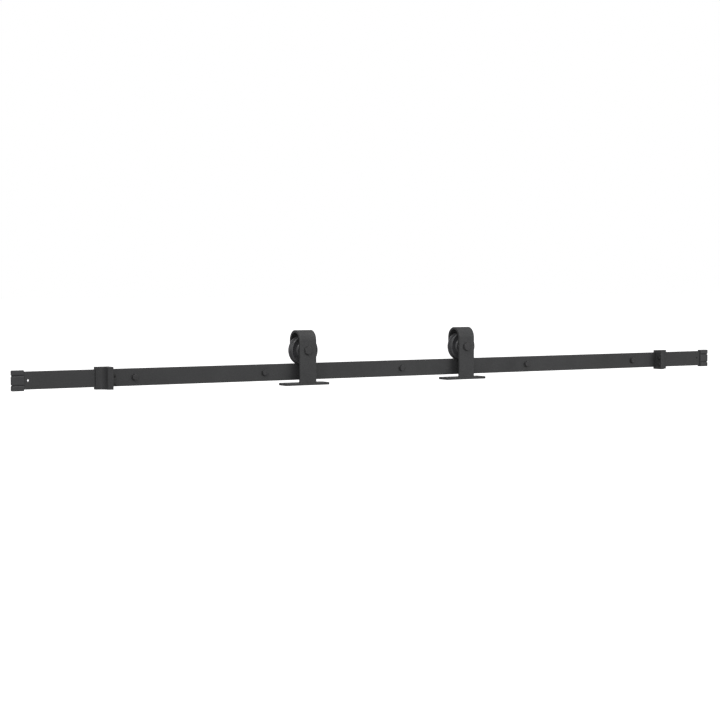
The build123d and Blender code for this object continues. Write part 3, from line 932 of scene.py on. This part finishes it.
def lock_nut(side):
    """A lock nut: a hexagon with turned corners, and a rolled collar with a nylon ring inside."""
    node = f"axle_lock_nut_{side}"
    low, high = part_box(node)
    centre = axle_centre(side)
    flats = high.x - low.x
    radii = hexagon_radii(flats, NUT_STEPS)
    face = flats / 2 - NUT_INSET
    collar = flats / 2 - NUT_COLLAR_INSET
    shoulder = low.y + (high.y - low.y) * NUT_HEXAGON_SHARE
    nylon_radius = AXLE_BORE + NYLON_WALL

    def circle(y, radius):
        return ring_about_y(centre, y, [radius] * NUT_STEPS)

    rings = [
        circle(low.y + NUT_CHAMFER, AXLE_BORE),
        circle(low.y, AXLE_BORE + NUT_CHAMFER),
        circle(low.y, face),
        cone_ring(centre, radii, face, low.y, 1),
        cone_ring(centre, radii, face, shoulder, -1),
        circle(shoulder, face),
        circle(shoulder + NUT_COLLAR_RISE, collar),
    ]
    for step in range(NUT_ROLL_STEPS + 1):
        turn = math.pi / 2 * step / NUT_ROLL_STEPS
        back = NUT_ROLL * (1 - math.sin(turn))
        rings.append(circle(high.y - back, collar - NUT_ROLL * (1 - math.cos(turn))))
    for back, radius in (
        (NUT_RECESS_TOP, nylon_radius),
        (NUT_RECESS_FLOOR, nylon_radius),
        (NUT_RECESS_FLOOR, AXLE_BORE),
    ):
        rings.append(circle(high.y - back, radius))
    name = f"lock_nut_body_{side}"
    make_piece(name, skin(rings, wrap=True), "black_oxide_steel", f"{side}_hanger", node)
    turned_tube(
        f"lock_nut_nylon_ring_{side}", centre,
        high.y - NUT_RECESS_FLOOR + NYLON_GAP, high.y - NYLON_TOP,
        nylon_radius - NYLON_GAP, AXLE_BORE - NYLON_BITE, NYLON_EDGE,
        "ring_nylon", f"{side}_hanger", node,
    )


WELD_RIPPLE = 1.35 * MM
WELD_ROWS = 168
WELD_STEPS = 9
WELD_SMOOTH_LIMIT = math.radians(50)
WELD_ROOT_BACK = 0.2 * MM
WELD_ROOT_DROP = 0.1 * MM

# Shares of the weld's leg: what a ripple swells by, how small the ends are, and how it is filled
RIPPLE_LOW = 0.90
RIPPLE_SWELL = 0.10
END_SIZE = 0.5
END_GROWTH = 2.6
FACE_REACH = 0.77
TOE_REACH = 0.17

# Each row is the height and pace of a slow wave along the weld, and where it starts
WANDERS = ((0.035, 41.0, 0.0), (0.025, 97.0, 1.3))


def weld_bead(side):
    """A fillet weld with overlapping ripples in the corner between strap and plate."""
    node = f"plate_weld_{side}"
    low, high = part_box(node)
    leg = high.y - low.y
    length = high.x - low.x
    rings = []
    for row in range(WELD_ROWS + 1):
        t = row / WELD_ROWS
        phase = t * length / WELD_RIPPLE % 1.0
        swell = RIPPLE_LOW + RIPPLE_SWELL * math.sqrt(1.0 - phase)
        taper = min(1.0, END_SIZE + END_GROWTH * math.sqrt(min(t, 1.0 - t)))
        wander = sum(height * math.sin(t * pace + start) for height, pace, start in WANDERS)
        size = leg * swell * taper
        ring = [(low.x + length * t, low.y - WELD_ROOT_BACK, low.z - WELD_ROOT_DROP)]
        for step in range(WELD_STEPS):
            turn = math.pi / 2 * step / (WELD_STEPS - 1)
            reach = size * (FACE_REACH + wander + TOE_REACH * math.cos(2 * turn) ** 2)
            shift = 0.5 * WELD_RIPPLE * math.sin(2 * turn)
            x = min(high.x, low.x + length * t + shift)
            ring.append((x, low.y + math.cos(turn) * reach, low.z + math.sin(turn) * reach))
        rings.append(ring)
    name = f"weld_bead_{side}"
    make_piece(name, skin(rings), "powder_coat", f"{side}_hanger", node, WELD_SMOOTH_LIMIT)


BUSHING_EDGE = 0.7 * MM
REAR_WASHER_EDGE = 0.5 * MM


def make_hanger_pieces(side):
    strap(side)
    axle_bolt(side)
    lock_nut(side)
    weld_bead(side)
    centre = axle_centre(side)
    body = f"{side}_hanger"
    for place in ("front", "rear"):
        node = f"axle_bushing_{place}_{side}"
        low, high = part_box(node)
        turned_tube(
            f"bushing_{place}_{side}", centre, low.y, high.y, high.z - centre.z, AXLE_BORE,
            BUSHING_EDGE, "fastener_steel", body, node,
        )
    node = f"axle_washer_{side}"
    low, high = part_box(node)
    turned_tube(
        f"rear_washer_{side}", centre, low.y, high.y, high.z - centre.z, AXLE_BORE,
        REAR_WASHER_EDGE, "black_oxide_steel", body, node,
    )


# ---------------------------------------------------------------- wheels

TREAD_RADIUS = 30.4 * MM
TREAD_HALF = 3.6 * MM
TREAD_RISE = 0.6 * MM
TREAD_FLARE = 0.5 * MM
MOUTH_HALF = 6.2 * MM
HUB_RADIUS = 20.0 * MM
RIM_WIDTH = 3.5 * MM
WEB_DEPTH = 3.0 * MM
WEB_SLOPE = 1.6 * MM
SEAT_RADIUS = 16.0 * MM
SEAT_HALF = 5.0 * MM
SEAT_CHAMFER = 0.8 * MM
LIP_RADIUS = 13.5 * MM
WHEEL_STEPS = 144
WHEEL_ROUND = 0.9 * MM
WHEEL_ROUND_STEPS = 3
SHOULDER_IN = 0.3 * MM
SHOULDER_DROP = 0.9 * MM

SHIELD_INNER = 9.6 * MM
SHIELD_OUTER = 12.7 * MM
SHIELD_SETBACK = 0.1 * MM
SHIELD_STEP = 0.3 * MM
SHIELD_THICK = 0.5 * MM
SHIELD_ROUND = 0.12 * MM
SHIELD_ROUND_STEPS = 2
SHIELD_STEPS = 96


def grooved_wheel(side):
    """A wheel with round-shouldered rims, a dished web, a raised hub and a groove for the rail."""
    node = f"wheel_{side}"
    low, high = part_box(node)
    half = (high.y - low.y) / 2
    rim = (high.z - low.z) / 2
    web = half - WEB_DEPTH
    inner_rim = rim - RIM_WIDTH
    near = [
        (SEAT_RADIUS, -half + SEAT_CHAMFER),
        (SEAT_RADIUS + SEAT_CHAMFER, -half),
        (HUB_RADIUS - 1.0 * MM, -half),
        (HUB_RADIUS + SHOULDER_IN, -half + SHOULDER_DROP),
        (HUB_RADIUS + WEB_SLOPE, -web),
        (inner_rim - WEB_SLOPE, -web),
        (inner_rim - SHOULDER_IN, -half + SHOULDER_DROP),
        (inner_rim + 0.6 * MM, -half),
        (rim - 1.1 * MM, -half),
        (rim, -half + 1.2 * MM),
        (rim, -MOUTH_HALF),
        (TREAD_RADIUS + TREAD_RISE, -TREAD_HALF - TREAD_FLARE),
        (TREAD_RADIUS, -TREAD_HALF),
    ]
    far = [(radius, -y) for radius, y in reversed(near)][:-2]
    far += [(LIP_RADIUS + SEAT_CHAMFER, half), (LIP_RADIUS, half - SEAT_CHAMFER)]
    seat = [(LIP_RADIUS, SEAT_HALF), (SEAT_RADIUS, SEAT_HALF)]
    section = rounded(near + far + seat, WHEEL_ROUND, WHEEL_ROUND_STEPS)
    solid = turned(section, axle_centre(side), WHEEL_STEPS)
    make_piece(f"grooved_wheel_{side}", solid, "wheel_nylon", f"{side}_wheel", node)


def bearing_shields(side):
    """Pressed steel shields with a stepped edge, one on each side of the balls."""
    outside = SHIELD_SETBACK - SEAT_HALF
    stepped = outside + SHIELD_STEP
    profile = [
        (SHIELD_INNER, stepped),
        (SHIELD_INNER + 0.7 * MM, outside),
        (SHIELD_OUTER - 0.9 * MM, outside),
        (SHIELD_OUTER - 0.5 * MM, stepped),
        (SHIELD_OUTER, stepped),
        (SHIELD_OUTER, stepped + SHIELD_THICK),
        (SHIELD_OUTER - 0.7 * MM, stepped + SHIELD_THICK),
        (SHIELD_OUTER - 1.1 * MM, outside + SHIELD_THICK),
        (SHIELD_INNER + 0.8 * MM, outside + SHIELD_THICK),
        (SHIELD_INNER, stepped + SHIELD_THICK * 0.6),
    ]
    for place, sign in (("front", 1), ("rear", -1)):
        outline = [(radius, y * sign) for radius, y in profile]
        section = rounded(outline, SHIELD_ROUND, SHIELD_ROUND_STEPS)
        solid = turned(section, axle_centre(side), SHIELD_STEPS)
        name = f"bearing_shield_{place}_{side}"
        make_piece(name, solid, "bearing_steel", f"{side}_wheel", f"bearing_shields_{side}")


def make_wheel_pieces(side):
    grooved_wheel(side)
    bearing_shields(side)


# ---------------------------------------------------------------- the scene

make_studio()
MATERIALS = make_materials()
paint_cad_nodes()
make_rail_pieces()
for side in SIDES:
    make_hanger_pieces(side)
    make_wheel_pieces(side)
